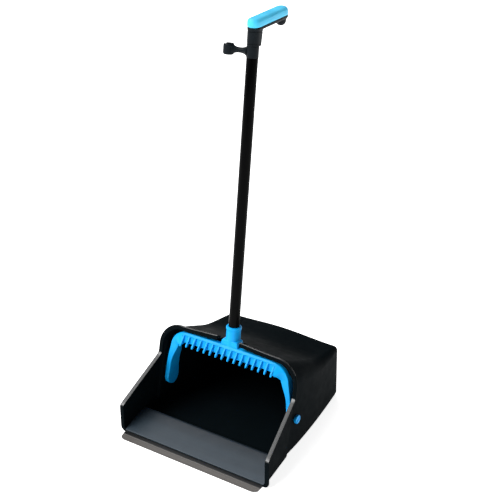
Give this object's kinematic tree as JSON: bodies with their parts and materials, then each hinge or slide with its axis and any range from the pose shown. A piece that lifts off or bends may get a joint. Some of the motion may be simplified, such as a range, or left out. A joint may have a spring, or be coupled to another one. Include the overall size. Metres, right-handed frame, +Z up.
{
  "type": "upright dustpan",
  "caption": "Hooded upright dustpan with a comb yoke, leaning tube handle, swivelling broom clip, side grip and rubber lip.",
  "frame": {"origin": "middle of the footprint on the floor: the lowest plane of the hopper, halfway between its sides and halfway between the lip's front edge and the rear wall", "axes": "+Z up, +Y to the rear of the hopper, the mouth faces -Y, +X to the right as seen from the front"},
  "size_m": [0.3362, 0.3544, 0.7861],
  "materials": {
    "pan_plastic": "fine-textured black polypropylene, satin",
    "handle_plastic": "black moulded plastic, satin",
    "lip_rubber": "matt dark grey rubber with lengthwise lines",
    "blue_plastic": "bright sky blue moulded plastic, semi-gloss",
    "cap_rubber": "soft light blue rubber, matt",
    "tube_paint": "black powder-coated steel tube, satin",
    "screw_steel": "zinc-plated steel"
  },
  "bodies": {
    "pan": {"hopper": "pan_plastic", "rubber_lip": "lip_rubber"},
    "handle": {"yoke": "blue_plastic", "pivot_pin_left": "blue_plastic", "pivot_pin_right": "blue_plastic", "handle_tube": "tube_paint", "tube_plug": "pan_plastic", "socket_screw": "screw_steel", "grip_body": "handle_plastic", "grip_cap": "cap_rubber"},
    "clip": {"broom_clip": "handle_plastic"}
  },
  "joints": [
    {"name": "yoke_pivot", "type": "hinge", "parent": "pan", "child": "handle", "pos_m": [0, -0.02525, 0.0686], "axis": [1, 0, 0], "range_deg": [0, 95]},
    {"name": "clip_swivel", "type": "hinge", "parent": "handle", "child": "clip", "pos_m": [0, 0.05848, 0.7268], "axis": [0, 0.1262, 0.992], "continuous": true}
  ]
}
